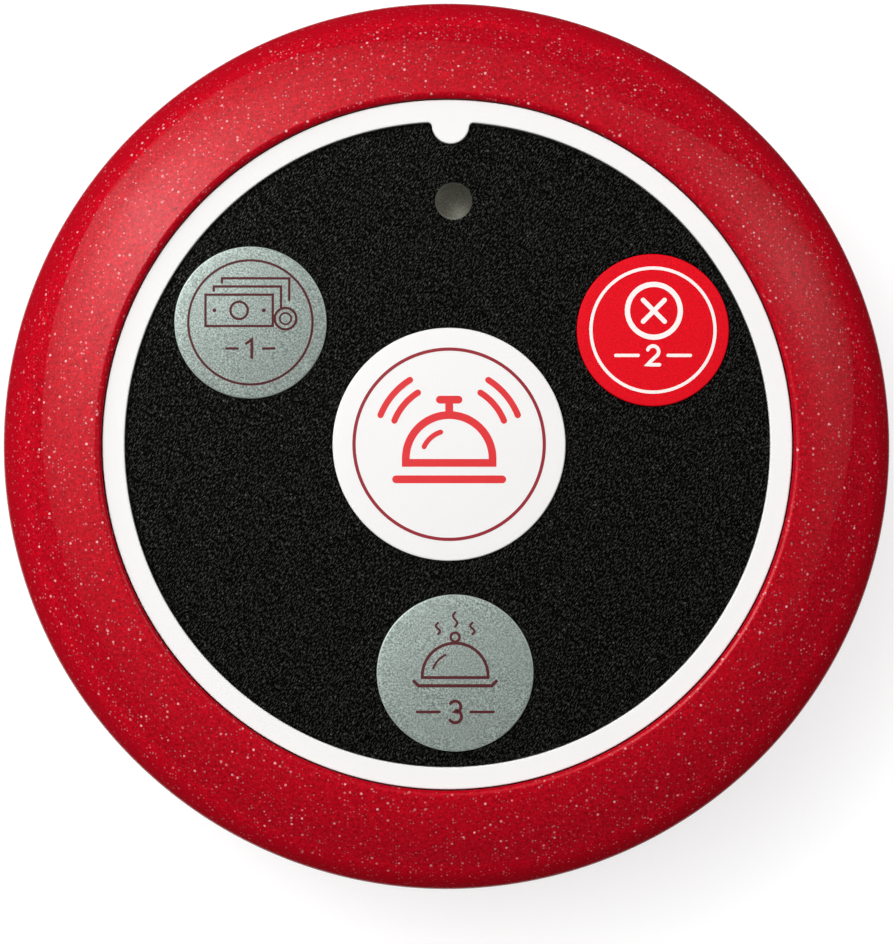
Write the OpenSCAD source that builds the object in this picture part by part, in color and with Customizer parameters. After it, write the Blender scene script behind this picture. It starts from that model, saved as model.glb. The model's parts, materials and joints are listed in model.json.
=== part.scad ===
// Round table-top call button with four keys. It lies on its back with the key face up.
// Origin: centre of the plane that the feet stand on. +Z is up, +Y points to the indicator lamp.

/* [Body] */
// Outer diameter of the red ring at its widest
body_d = 60; // [59:0.5:64]
// Height from the table to the top of the red ring
body_h = 18; // [18:0.5:20]
// Radius of the ring's domed top, in section
ring_top_r = 11; // [10.5:0.5:12]
// Radius of the ring's shoulder, in section
ring_shoulder_r = 3.3; // [3.1:0.1:3.5]
// Radius of the ring's side below its widest level, in section
ring_side_r = 20; // [18:1:24]
// Slope at which the domed top runs into the shoulder, in degrees
ring_slope = 42; // [40:1:44]
// Wall of the ring
ring_wall = 1.8; // [1.6:0.1:1.9]
// Height of the ring's lower edge
ring_bottom = 3.6; // [3.5:0.1:3.8]
// Rounding of the ring's inner edge, beside the white rim
ring_edge_r = 0.4; // [0.3:0.05:0.5]

/* [Face] */
// Diameter of the opening in the ring
face_d = 46.3; // [45.8:0.1:46.4]
// Diameter of the black film
film_d = 43.1; // [43:0.1:43.4]
// Thickness of the film
film_t = 0.25; // [0.2:0.05:0.3]
// Height of the ring's top above the white rim
rim_drop = 0.4; // [0.3:0.05:0.5]
// Height of the white rim above the film
rim_stand = 0.4; // [0.3:0.05:0.5]
// Width of the locating tab
tab_w = 2.5; // [2:0.1:2.6]
// Length of the tab, from the film's edge to its tip
tab_l = 1.42; // [1.3:0.01:1.5]
// Sideways place of the tab
tab_x = 0.2; // [0:0.1:0.5]
// Diameter of the lamp window
window_d = 2.5; // [2:0.1:2.8]
// Depth of the shallow dish in the window's top
window_dish = 0.1; // [0.05:0.01:0.15]
// Place of the lamp window
window_at = [0.4, 16.3];

/* [Keys] */
// Diameter of the large middle key
call_d = 15.6; // [15:0.1:16]
// Diameter of the upper left key
pay_d = 10.2; // [9.8:0.1:10.6]
// Diameter of the upper right key
cancel_d = 10.2; // [9.8:0.1:10.6]
// Diameter of the bottom key
order_d = 10.5; // [9.8:0.1:10.8]
// Place of the large middle key
call_at = [0.1, 0];
// Place of the upper left key
pay_at = [-13.2, 8.15];
// Place of the upper right key
cancel_at = [13.75, 7.65];
// Place of the bottom key
order_at = [0.5, -15.3];
// Height of a key's middle above the film
key_rise = 0.4; // [0.35:0.05:0.45]
// How much higher a key's middle is than its edge
key_crown = 0.2; // [0.1:0.05:0.25]
// Travel of a key
key_travel = 0.4; // [0.2:0.05:0.4]

/* [Base] */
// Height of the feet below the base
foot_h = 0.6; // [0.5:0.1:0.7]
// Diameter of a foot
foot_d = 6; // [5:0.5:6]
// Radius of the circle that the feet stand on
foot_circle_r = 21.3; // [21:0.1:21.5]
// Thickness of the base's floor
floor_t = 1.6; // [1.5:0.1:1.8]
// Diameter of the battery cap
cap_d = 31.2; // [31:0.1:31.4]
// Turn that frees the battery cap, in degrees
cap_turn = 35; // [33:1:38]

/* [Electronics] */
// Diameter of the coin cell
cell_d = 24.5; // [23:0.5:24.5]
// Thickness of the coin cell
cell_h = 5; // [4.5:0.1:5]
// Diameter of the circuit board
board_d = 40.4; // [40:0.1:41]
// Thickness of the circuit board
board_t = 1; // [0.8:0.1:1.2]
// Side of a push switch
switch_w = 6; // [5.8:0.1:6.2]
// Height of a push switch with its stem
switch_h = 4.3; // [4.3:0.1:4.5]

/* [Hidden] */
$fn = 96;

// Each key as [place, radius]
CALL = [call_at, call_d / 2];
PAY = [pay_at, pay_d / 2];
CANCEL = [cancel_at, cancel_d / 2];
ORDER = [order_at, order_d / 2];
KEYS = [CALL, PAY, CANCEL, ORDER];

// A cut reaches this far past the face that it goes through
over = 0.5;
// A length greater than any here
far = 80;
// Play between pieces that stay where they are
play = 0.05;
// Sides of a full circle that makes a shallow dish
dish_fn = 360;

// Red ring: rounding of its inner edge, and centres of the three arcs of its section
lip_r = face_d / 2;
shoulder_x = body_d / 2 - ring_shoulder_r;
top_x = shoulder_x - (ring_top_r - ring_shoulder_r) * sin(ring_slope);
edge_x = lip_r + ring_edge_r;
edge_z = body_h - ring_edge_r;
top_z = edge_z - sqrt(pow(ring_top_r - ring_edge_r, 2) - pow(edge_x - top_x, 2));
widest_z = top_z + (ring_top_r - ring_shoulder_r) * cos(ring_slope);
side_x = body_d / 2 - ring_side_r;

// Lip of the ring round the face, and its snap hooks
ring_bore_r = 26.2;
lip_w = 1.5;
lip_z = body_h - 3.5;
hook_count = 6;
hook_angle = 14;
hook_t = 0.8;
hook_play = 0.1;

// White rim round the film, and the housing that carries it
film_r = film_d / 2;
rim_r = lip_r - 0.08;
rim_in_r = film_r + play;
rim_edge_r = 0.1;
rim_z = body_h - rim_drop;
film_z = rim_z - rim_stand;
seat_z = film_z - film_t;
plate_z = seat_z - 1.6;
rim_seat_z = seat_z - 0.9;
skirt_t = 1.35;
flange_r = ring_bore_r + 0.4;
flange_t = 1.2;
flange_z = lip_z - flange_t;
guide_h = 1.05;
guide_wall = 1.3;
tab_flare_r = 0.3;
tab_root_r = film_r + 0.6;
window_land = 0.08;

// Keys and plungers
key_edge_r = 0.1;
key_edge_steps = 6;
key_crown_steps = 10;
key_gap = 0.05;
well_gap = 0.15;
head_top_z = film_z + key_rise - key_crown - film_t;
head_t = 0.7;
well_z = head_top_z - head_t - key_travel - play;
head_inset = 0.35;
pin_r = 2;
pin_play = 0.08;

// Push switches, under the plungers, and the circuit board
stem_top_z = plate_z - guide_h - key_travel;
board_top_z = stem_top_z - switch_h;
board_z = board_top_z - board_t;
switch_base_h = 3;
switch_cover_t = 0.2;
switch_well_r = 2.6;
switch_floor_t = 1.05;
rivet_r = 0.35;
rivet_h = 0.35;
rivet_at = 2.4;
stem_r = 1.75;
stem_hole_r = 1.9;
stem_flange_r = 2.4;
stem_flange_t = 0.4;
stem_nub_r = 0.8;
dome_r = 2.3;
dome_h = 0.55;
dome_t = 0.12;
terminal_w = 0.7;
terminal_at = 2.25;

// Lamp and light pipe
led_size = [2, 1.25, 0.8];
pipe_r = window_d / 2;
pipe_collar_r = 2.1;
pipe_collar_t = 0.8;
pipe_gap = 0.3;

// Parts on the board: chip sizes as [length, width, height]
leg_t = 0.2;
leg_w = 0.4;
leg_reach = 1;
encoder_at = [-9, -8.5];
encoder_size = [4.9, 3.9, 1.45];
encoder_pitch = 1.27;
transistor_at = [7.6, 0.8];
transistor_size = [2.9, 1.3, 1];
transistor_pitch = 0.95;
resonator_at = [9.3, -8.6];
resonator_r = 4.1;
resonator_h = 3.2;
resonator_flange_r = 4.6;
resonator_flange_t = 0.5;
resonator_edge_r = 0.6;
capacitor_size = [2, 1.25, 0.9];
capacitors_at = [[-7.4, 2.6], [-7.4, 0.2], [-7.4, -2.2], [6.6, 13.4], [6.6, 15.8]];
resistor_size = [2, 1.25, 0.5];
resistors_at = [[-3, 7], [0.2, 7], [3.4, 7], [-3, 10.6], [0.2, 10.6]];
wire_r = 0.4;
wire_circle_r = 23.9;
wire_start = 180;
wire_angle = 320;
wire_pad_r = 19;

// Base, battery cap and coin cell
wall_r = ring_bore_r - 0.15;
wall_t = 1.25;
floor_z = foot_h + floor_t;
base_inset = 0.3;
base_lip_z = ring_bottom - 0.2;
seal_r = 0.3;
seal_gap = 0.05;
seal_circle_r = wall_r + seal_gap + seal_r;
foot_pocket = 0.4;
foot_edge_r = 0.25;
foot_angles = [0, 90, 180, 270];
cell_r = cell_d / 2;
cap_r = cap_d / 2;
cap_gap = 0.15;
cap_z = foot_h + 0.2;
cap_top_z = cap_z + 1;
cap_edge = 0.25;
hub_in_r = cell_r + 0.2;
hub_r = hub_in_r + 1;
hub_h = 1.8;
ledge_z = cap_top_z + play;
ledge_top_z = ledge_z + 0.9;
lug_count = 3;
lug_angle = 26;
lug_r = hub_r + 1.15;
lug_z = ledge_top_z + play;
lug_room_r = lug_r + 0.2;
notch_angle = lug_angle + 4;
notch_r = lug_room_r - 0.1;
stop_angle = 3;
stop_play = 1;
stop_reach = lug_angle / 2 + stop_play + stop_angle / 2;
stop_angles = [stop_reach, -cap_turn - stop_reach];
stop_in_r = hub_r + cap_gap + 0.1;
well_roof_z = cap_top_z + hub_h + 0.25;
stop_h = well_roof_z - ledge_top_z;
well_top_z = well_roof_z + 1;
well_r = lug_room_r + 1.6;
well_bore_r = cell_r + 0.35;
slot_size = [13, 1.8, 0.5];
cell_z = cap_top_z + 0.1;
cell_step = 0.8;
cell_step_w = 1.35;
cell_edge_r = 0.4;
contact_t = 0.2;
leaf_w = 4;
leaf_z = well_top_z + 0.25;
leaf_foot = 3.2;
finger_w = 4;
finger_foot_x = [-9, -5];
finger_touch_x = [1.4, 2];
finger_tip = [1.2, 0.5];

// Screws
screw_r = 1;
screw_head_r = 1.9;
screw_head_h = 1.4;
screw_edge_r = 0.6;
cross_size = [2.2, 0.5, 0.7];
case_screw_angles = [60, 120, 240, 300];
case_screw_circle_r = 20.5;
case_screw_l = 8;
case_seat_z = foot_h + 2;
case_recess_r = screw_head_r + 0.2;
board_screw_angles = [105, 194, 346];
board_screw_circle_r = 16.8;
board_screw_l = 4;
boss_r = 2.2;
post_r = 2.6;
post_top_z = 7.4;
board_post_r = 1.8;
hole_spare = 0.4;

// Places its children at each angle on a circle
module around(angles, r) {
    for (a = angles) rotate(a) translate([r, 0, 0]) children();
}

// Places its children at a point of the plan, at a height
module at(place, z) {
    translate([place[0], place[1], z]) children();
}

// Box centred in X and Y, standing on the XY plane
module slab(size) {
    translate([-size[0] / 2, -size[1] / 2, 0]) cube(size);
}

// Ring of rectangular section, or a part turn of one that is centred on +X
module band(r_in, r_out, h, angle = 360) {
    rotate(angle == 360 ? 0 : -angle / 2) rotate_extrude(angle = angle) translate([r_in, 0]) {
        square([r_out - r_in, h]);
    }
}

// Disc whose upper edge is rounded
module rounded_disc(r, h, edge) {
    rotate_extrude() {
        square([r, h - edge]);
        square([r - edge, h]);
        translate([r - edge, h - edge]) circle(edge);
    }
}

// Points of an arc about a centre, from one angle to another; first = 1 leaves out the starting point
function arc(centre, r, start, end, steps, first = 0) = [
    for (i = [first : steps]) let (a = start + (end - start) * i / steps) centre + r * [cos(a), sin(a)]
];

// Outer section of the body, drawn in by inset: domed top, shoulder and side, as arcs that meet smoothly
module body_outline(inset) {
    translate([shoulder_x, widest_z]) circle(ring_shoulder_r - inset);
    intersection() {
        translate([top_x, top_z]) circle(ring_top_r - inset);
        translate([shoulder_x, widest_z]) rotate(90 - ring_slope) translate([-far, 0]) square([2 * far, far]);
    }
    intersection() {
        translate([side_x, widest_z]) circle(ring_side_r - inset);
        translate([0, widest_z - far]) square([far, far]);
    }
}

// What the rounding takes off the ring's inner edge
module ring_edge_cut() {
    reach = 2 * ring_edge_r / (ring_top_r - ring_edge_r);
    cut_z = edge_z + (edge_z - top_z) * reach;
    difference() {
        polygon([
            [edge_x, edge_z],
            [edge_x + (edge_x - top_x) * reach, cut_z],
            [lip_r - over, cut_z],
            [lip_r - over, edge_z]
        ]);
        translate([edge_x, edge_z]) circle(ring_edge_r);
    }
}

// Red ring: a hollow arch with a lip round the face, and hooks that snap under the housing's flange
module bezel_ring() {
    color("crimson") {
        rotate_extrude() difference() {
            intersection() {
                body_outline(0);
                translate([lip_r, ring_bottom]) square(far);
            }
            intersection() {
                body_outline(ring_wall);
                translate([lip_r + lip_w, 0]) square(far);
            }
            square([lip_r + lip_w, lip_z]);
            square([ring_bore_r, widest_z]);
            ring_edge_cut();
        }
        for (i = [0 : hook_count - 1]) {
            rotate(i * 360 / hook_count) rotate_extrude(angle = hook_angle) intersection() {
                body_outline(ring_wall / 2);
                translate([wall_r + hook_play, flange_z - hook_play - hook_t]) square([far, hook_t]);
            }
        }
    }
}

// Plan of the tab, grown by grow. The film's notch has the same plan.
module tab_plan(grow) {
    tip_r = tab_w / 2 + grow;
    flare_r = tab_flare_r - grow;
    edge_y = sqrt(pow(film_r, 2) - pow(tab_w / 2 + tab_flare_r, 2));
    translate([tab_x, 0]) {
        translate([0, film_r - tab_l + tab_w / 2]) circle(tip_r);
        translate([-tip_r, film_r - tab_l + tab_w / 2]) square([2 * tip_r, tab_l]);
        for (side = [0, 1]) mirror([side, 0]) difference() {
            translate([tip_r - play, edge_y - flare_r]) square([flare_r + play, flare_r + over]);
            translate([tip_r + flare_r, edge_y - flare_r]) circle(flare_r);
        }
    }
}

// White rim with a rounded top, and the tab that locates the film
module face_rim() {
    color("white") {
        rotate_extrude() translate([rim_in_r, 0]) {
            translate([0, rim_seat_z]) square([rim_r - rim_in_r, rim_z - rim_edge_r - rim_seat_z]);
            translate([rim_edge_r, rim_seat_z]) {
                square([rim_r - rim_in_r - 2 * rim_edge_r, rim_z - rim_seat_z]);
            }
            for (x = [rim_edge_r, rim_r - rim_in_r - rim_edge_r]) {
                translate([x, rim_z - rim_edge_r]) circle(rim_edge_r);
            }
        }
        translate([0, 0, seat_z]) linear_extrude(rim_z - seat_z) intersection() {
            tab_plan(0);
            circle(tab_root_r);
        }
    }
}

// Section of the housing: face plate with a shoulder for the rim, skirt and flange
module housing_section() {
    translate([0, plate_z]) square([rim_r, rim_seat_z - plate_z]);
    translate([0, plate_z]) square([film_r, seat_z - plate_z]);
    translate([rim_r - skirt_t, flange_z]) square([skirt_t, rim_seat_z - flange_z]);
    translate([rim_r - skirt_t, flange_z]) square([flange_r - rim_r + skirt_t, flange_t]);
}

// White housing: face plate, guides for the plungers and the light pipe, bosses for the screws
module top_housing() {
    color("white") difference() {
        union() {
            rotate_extrude() housing_section();
            for (key = KEYS) at(key[0], plate_z - guide_h) {
                cylinder(h = guide_h + over, r = pin_r + pin_play + guide_wall);
            }
            at(window_at, plate_z - guide_h) cylinder(h = guide_h + over, r = pipe_r + guide_wall);
            around(case_screw_angles, case_screw_circle_r) {
                translate([0, 0, post_top_z]) cylinder(h = plate_z + over - post_top_z, r = boss_r);
            }
            around(board_screw_angles, board_screw_circle_r) {
                translate([0, 0, board_top_z]) cylinder(h = plate_z + over - board_top_z, r = board_post_r);
            }
        }
        for (key = KEYS) {
            at(key[0], well_z) cylinder(h = seat_z + over - well_z, r = key[1] + well_gap);
            at(key[0], 0) cylinder(h = seat_z, r = pin_r + pin_play);
        }
        at(window_at, 0) cylinder(h = seat_z + over, r = pipe_r + play);
        around(case_screw_angles, case_screw_circle_r) {
            cylinder(h = case_seat_z + case_screw_l + hole_spare, r = screw_r);
        }
        around(board_screw_angles, board_screw_circle_r) {
            cylinder(h = board_z + board_screw_l + hole_spare, r = screw_r);
        }
    }
}

// Black face film, with holes for the keys and the window, and a notch for the tab
module overlay_film() {
    color("#1a1a1a") translate([0, 0, seat_z]) linear_extrude(film_t) difference() {
        circle(film_r);
        tab_plan(play);
        for (key = KEYS) translate(key[0]) circle(key[1] + key_gap);
        translate(window_at) circle(window_d / 2);
    }
}

// Clear disc of the film, above the light pipe, with a shallow dish in its top
module led_window() {
    dish_r = window_d / 2 - window_land;
    ball_r = (pow(dish_r, 2) + pow(window_dish, 2)) / (2 * window_dish);
    color("#4f5044") at(window_at, seat_z) rotate_extrude() difference() {
        square([window_d / 2, film_t]);
        translate([0, film_t - window_dish + ball_r]) circle(ball_r, $fn = dish_fn);
    }
}

// Raised, hollow key: a crowned top with a rounded edge
module key_cap(key) {
    r = key[1];
    ball_r = (pow(r, 2) + pow(key_crown, 2)) / (2 * key_crown);
    ball_z = film_z + key_rise - ball_r;
    edge_r = ball_r - key_edge_r;
    slope = asin((r - key_edge_r) / edge_r);
    corner = [r - key_edge_r, ball_z + edge_r * cos(slope)];
    at(key[0], 0) rotate_extrude() polygon(concat(
        [[r, seat_z]],
        arc(corner, key_edge_r, 0, 90 - slope, key_edge_steps),
        arc([0, ball_z], ball_r, 90 - slope, 90, key_crown_steps, 1),
        [[0, head_top_z], [r - film_t, head_top_z], [r - film_t, seat_z]]
    ));
}

module call_key() { color("white") key_cap(CALL); }
module pay_key() { color("#a3b0a9") key_cap(PAY); }
module cancel_key() { color("#e0142a") key_cap(CANCEL); }
module order_key() { color("#8b9891") key_cap(ORDER); }

// Pusher under a key: a wide head in the well, and a pin down to the switch
module plunger(key) {
    color("ivory") {
        at(key[0], head_top_z - head_t) cylinder(h = head_t, r = key[1] - head_inset);
        at(key[0], stem_top_z) cylinder(h = head_top_z - head_t - stem_top_z, r = pin_r);
    }
}

module call_plunger() { plunger(CALL); }
module pay_plunger() { plunger(PAY); }
module cancel_plunger() { plunger(CANCEL); }
module order_plunger() { plunger(ORDER); }

// Stem of a push switch, held in by its flange
module switch_stem(key) {
    flange_top = board_top_z + switch_base_h - 2 * play;
    nub_z = board_top_z + switch_floor_t + dome_h + play;
    color("dimgray") {
        at(key[0], flange_top) cylinder(h = stem_top_z - flange_top, r = stem_r);
        at(key[0], flange_top - stem_flange_t) cylinder(h = stem_flange_t, r = stem_flange_r);
        at(key[0], nub_z) cylinder(h = flange_top - stem_flange_t - nub_z, r = stem_nub_r);
    }
}

module call_switch_stem() { switch_stem(CALL); }
module pay_switch_stem() { switch_stem(PAY); }
module cancel_switch_stem() { switch_stem(CANCEL); }
module order_switch_stem() { switch_stem(ORDER); }

// Places its children at the four corners of a square
module corners(reach) {
    for (x = [-reach, reach], y = [-reach, reach]) translate([x, y, 0]) children();
}

// Body of a push switch, with the well for the dome and four rivets for the cover
module switch_base(key) {
    color("#222222") at(key[0], board_top_z) {
        difference() {
            slab([switch_w, switch_w, switch_base_h]);
            translate([0, 0, switch_floor_t]) cylinder(h = switch_base_h, r = switch_well_r);
        }
        corners(rivet_at) cylinder(h = switch_base_h + rivet_h, r = rivet_r);
    }
}

module call_switch_base() { switch_base(CALL); }
module pay_switch_base() { switch_base(PAY); }
module cancel_switch_base() { switch_base(CANCEL); }
module order_switch_base() { switch_base(ORDER); }

// Sheet metal cover of a push switch
module switch_cover(key) {
    color("silver") at(key[0], board_top_z + switch_base_h) difference() {
        slab([switch_w, switch_w, switch_cover_t]);
        translate([0, 0, -over]) cylinder(h = 2 * over, r = stem_hole_r);
        translate([0, 0, -over]) corners(rivet_at) cylinder(h = 2 * over, r = rivet_r);
    }
}

module call_switch_cover() { switch_cover(CALL); }
module pay_switch_cover() { switch_cover(PAY); }
module cancel_switch_cover() { switch_cover(CANCEL); }
module order_switch_cover() { switch_cover(ORDER); }

// Snap dome of a push switch: a thin cap of a sphere
module switch_dome(key) {
    ball_r = (pow(dome_r, 2) + pow(dome_h, 2)) / (2 * dome_h);
    color("gold") at(key[0], board_top_z + switch_floor_t) difference() {
        intersection() {
            translate([0, 0, dome_h - ball_r]) sphere(ball_r);
            cylinder(h = dome_h + over, r = dome_r);
        }
        translate([0, 0, dome_h - ball_r]) sphere(ball_r - dome_t);
    }
}

module call_switch_dome() { switch_dome(CALL); }
module pay_switch_dome() { switch_dome(PAY); }
module cancel_switch_dome() { switch_dome(CANCEL); }
module order_switch_dome() { switch_dome(ORDER); }

// Bent leg that leaves a part's side along +X at height h and stands on the board
module leg(w, h) {
    translate([0, w / 2, 0]) rotate([90, 0, 0]) linear_extrude(w) polygon([
        [0, h - leg_t],
        [leg_reach / 2 - leg_t, h - leg_t],
        [leg_reach / 2 - leg_t, 0],
        [leg_reach, 0],
        [leg_reach, leg_t],
        [leg_reach / 2, leg_t],
        [leg_reach / 2, h],
        [0, h]
    ]);
}

// Solder legs of the four switches
module switch_terminals() {
    color("silver") for (key = KEYS, side = [0, 180], y = [-terminal_at, terminal_at]) {
        at(key[0], board_top_z) rotate(side) translate([switch_w / 2, y, 0]) leg(terminal_w, switch_floor_t);
    }
}

// Round circuit board with notches for the case bosses
module circuit_board() {
    color("darkgreen") translate([0, 0, board_z]) linear_extrude(board_t) difference() {
        circle(board_d / 2);
        around(case_screw_angles, case_screw_circle_r) circle(boss_r + hole_spare);
        around(board_screw_angles, board_screw_circle_r) circle(screw_r + play);
    }
}

// Indicator lamp on the board
module led() {
    color("lightyellow") at(window_at, board_top_z) slab(led_size);
}

// Clear rod that carries the light to the window, with a collar under its guide
module light_pipe() {
    pipe_z = board_top_z + led_size[2] + pipe_gap;
    color("aliceblue") {
        at(window_at, pipe_z) cylinder(h = seat_z - pipe_z, r = pipe_r);
        at(window_at, plate_z - guide_h - pipe_collar_t) cylinder(h = pipe_collar_t, r = pipe_collar_r);
    }
}

// Chip with eight legs that codes the key presses
module encoder_chip() {
    color("#2b2b2b") at(encoder_at, board_top_z) {
        translate([0, 0, leg_t / 2]) slab(encoder_size);
        for (side = [90, 270], i = [-1.5 : 1.5]) {
            rotate(side) translate([encoder_size[1] / 2, i * encoder_pitch, 0]) {
                leg(leg_w, encoder_size[2] / 2);
            }
        }
    }
}

// Metal can of the resonator
module rf_resonator() {
    color("silver") at(resonator_at, board_top_z) {
        cylinder(h = resonator_flange_t, r = resonator_flange_r);
        rounded_disc(resonator_r, resonator_h, resonator_edge_r);
    }
}

// Transmitter transistor with three legs
module rf_transistor() {
    color("#2b2b2b") at(transistor_at, board_top_z) {
        translate([0, 0, leg_t / 2]) slab(transistor_size);
        for (i = [-1, 1]) {
            rotate(90) translate([transistor_size[1] / 2, i * transistor_pitch, 0]) {
                leg(leg_w, transistor_size[2] / 2);
            }
        }
        rotate(270) translate([transistor_size[1] / 2, 0, 0]) leg(leg_w, transistor_size[2] / 2);
    }
}

module chip_capacitors() {
    color("tan") for (place = capacitors_at) at(place, board_top_z) slab(capacitor_size);
}

module chip_resistors() {
    color("#333333") for (place = resistors_at) at(place, board_top_z) slab(resistor_size);
}

// Wire that runs round the board's edge as the antenna
module antenna_wire() {
    color("peru") translate([0, 0, board_top_z + wire_r]) rotate(wire_start) {
        rotate_extrude(angle = wire_angle) translate([wire_circle_r, 0]) circle(wire_r);
        translate([wire_pad_r, 0, 0]) rotate([0, 90, 0]) {
            cylinder(h = wire_circle_r - wire_pad_r, r = wire_r);
        }
    }
}

// Coin cell: wide can below, narrower cap above
module coin_cell() {
    color("gainsboro") translate([0, 0, cell_z]) {
        translate([0, 0, cell_h - cell_step]) mirror([0, 0, 1]) {
            rounded_disc(cell_r, cell_h - cell_step, cell_edge_r);
        }
        rounded_disc(cell_r - cell_step_w, cell_h, cell_edge_r);
    }
}

// Leaf that presses on the cell's side, with a foot on the board
module plus_contact() {
    color("khaki") {
        translate([cell_r, -leaf_w / 2, leaf_z]) cube([contact_t, leaf_w, board_z - leaf_z]);
        translate([cell_r, -leaf_w / 2, board_z - contact_t]) cube([leaf_foot, leaf_w, contact_t]);
    }
}

// Springy finger that presses on the cell's top, with a foot on the board
module minus_contact() {
    touch_z = cell_z + cell_h;
    color("khaki") translate([0, finger_w / 2, 0]) rotate([90, 0, 0]) linear_extrude(finger_w) polygon([
        [finger_foot_x[0], board_z],
        [finger_foot_x[0], board_z - contact_t],
        [finger_foot_x[1], board_z - contact_t],
        [finger_touch_x[0], touch_z],
        [finger_touch_x[1], touch_z],
        [finger_touch_x[1] + finger_tip[0], touch_z + finger_tip[1]],
        [finger_touch_x[1] + finger_tip[0], touch_z + finger_tip[1] + contact_t],
        [finger_touch_x[1], touch_z + contact_t],
        [finger_touch_x[0], touch_z + contact_t],
        [finger_foot_x[1], board_z]
    ]);
}

// Section of the base: rounded rim, floor, wall up to the housing's flange, and the cell's well
module base_section() {
    difference() {
        union() {
            intersection() {
                body_outline(base_inset);
                translate([0, foot_h]) square([far, base_lip_z - foot_h]);
            }
            translate([wall_r - wall_t, floor_z]) square([wall_t, flange_z - floor_z]);
        }
        translate([0, floor_z]) square([wall_r - wall_t, far]);
        translate([wall_r, ring_bottom - 2 * seal_r]) square([2 * (seal_r + seal_gap), far]);
        square([hub_r + cap_gap, ledge_top_z + play]);
        square([cap_r + cap_gap, ledge_z]);
    }
    difference() {
        translate([well_bore_r, ledge_z]) square([well_r - well_bore_r, well_top_z - ledge_z]);
        square([hub_r + cap_gap, well_roof_z]);
        translate([0, ledge_top_z]) square([lug_room_r, well_roof_z - ledge_top_z]);
    }
}

// Lower casing: posts for the case screws, pockets for the feet, bayonet ledge for the cap
module base_shell() {
    post_h = post_top_z - foot_h;
    color("whitesmoke") difference() {
        union() {
            rotate_extrude() base_section();
            around(case_screw_angles, case_screw_circle_r) {
                translate([0, 0, foot_h]) cylinder(h = post_h, r = post_r);
            }
            for (i = [0 : lug_count - 1], a = stop_angles) {
                rotate(i * 360 / lug_count + a) translate([0, 0, ledge_top_z - play]) {
                    band(stop_in_r, lug_room_r + play, stop_h + 2 * play, stop_angle);
                }
            }
        }
        around(case_screw_angles, case_screw_circle_r) {
            cylinder(h = case_seat_z, r = case_recess_r);
            cylinder(h = post_top_z + over, r = screw_r + play);
        }
        around(foot_angles, foot_circle_r) cylinder(h = foot_h + foot_pocket, r = foot_d / 2 + play);
        for (i = [0 : lug_count - 1]) {
            rotate(i * 360 / lug_count - cap_turn) translate([0, 0, ledge_z - play]) {
                band(hub_r, notch_r, ledge_top_z - ledge_z + 2 * play, notch_angle);
            }
        }
    }
}

// Round battery cap: a slotted disc with a hub whose lugs turn in over the base's ledge
module battery_cap() {
    color("whitesmoke") difference() {
        union() {
            translate([0, 0, cap_top_z]) mirror([0, 0, 1]) rounded_disc(cap_r, cap_top_z - cap_z, cap_edge);
            translate([0, 0, cap_top_z - play]) band(hub_in_r, hub_r, hub_h + play);
            for (i = [0 : lug_count - 1]) {
                rotate(i * 360 / lug_count) translate([0, 0, lug_z]) {
                    band(hub_r - play, lug_r, cap_top_z + hub_h - lug_z, lug_angle);
                }
            }
        }
        translate([0, 0, cap_z - over]) slab([slot_size[0], slot_size[1], slot_size[2] + over]);
    }
}

// Round cord that seals the joint of base and red ring
module seal_ring() {
    color("black") translate([0, 0, ring_bottom - seal_r]) {
        rotate_extrude() translate([seal_circle_r, 0]) circle(seal_r);
    }
}

// Cross-headed screw that points up; its head is under the XY plane
module screw(length) {
    cylinder(h = length, r = screw_r);
    difference() {
        mirror([0, 0, 1]) rounded_disc(screw_head_r, screw_head_h, screw_edge_r);
        for (a = [0, 90]) {
            rotate(a) translate([0, 0, -screw_head_h - over]) {
                slab([cross_size[0], cross_size[1], cross_size[2] + over]);
            }
        }
    }
}

module case_screws() {
    color("silver") around(case_screw_angles, case_screw_circle_r) {
        translate([0, 0, case_seat_z]) screw(case_screw_l);
    }
}

module board_screws() {
    color("silver") around(board_screw_angles, board_screw_circle_r) {
        translate([0, 0, board_z]) screw(board_screw_l);
    }
}

module foot_pads() {
    color("#2a2a2a") around(foot_angles, foot_circle_r) translate([0, 0, foot_h + foot_pocket]) {
        mirror([0, 0, 1]) rounded_disc(foot_d / 2, foot_h + foot_pocket, foot_edge_r);
    }
}

bezel_ring();
face_rim();
top_housing();
overlay_film();
led_window();
call_key();
pay_key();
cancel_key();
order_key();
call_plunger();
pay_plunger();
cancel_plunger();
order_plunger();
call_switch_stem();
pay_switch_stem();
cancel_switch_stem();
order_switch_stem();
call_switch_base();
pay_switch_base();
cancel_switch_base();
order_switch_base();
call_switch_cover();
pay_switch_cover();
cancel_switch_cover();
order_switch_cover();
call_switch_dome();
pay_switch_dome();
cancel_switch_dome();
order_switch_dome();
switch_terminals();
circuit_board();
led();
light_pipe();
encoder_chip();
rf_resonator();
rf_transistor();
chip_capacitors();
chip_resistors();
antenna_wire();
coin_cell();
plus_contact();
minus_contact();
base_shell();
battery_cap();
seal_ring();
case_screws();
board_screws();
foot_pads();
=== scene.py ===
"""Looks and light for the round table call button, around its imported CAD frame.

Lengths in the geometry part are in millimetres and become metres when a mesh is made.
The object lies on its back: +Z comes out of the face and +Y points to the indicator lamp.
"""

import json
import math

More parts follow.
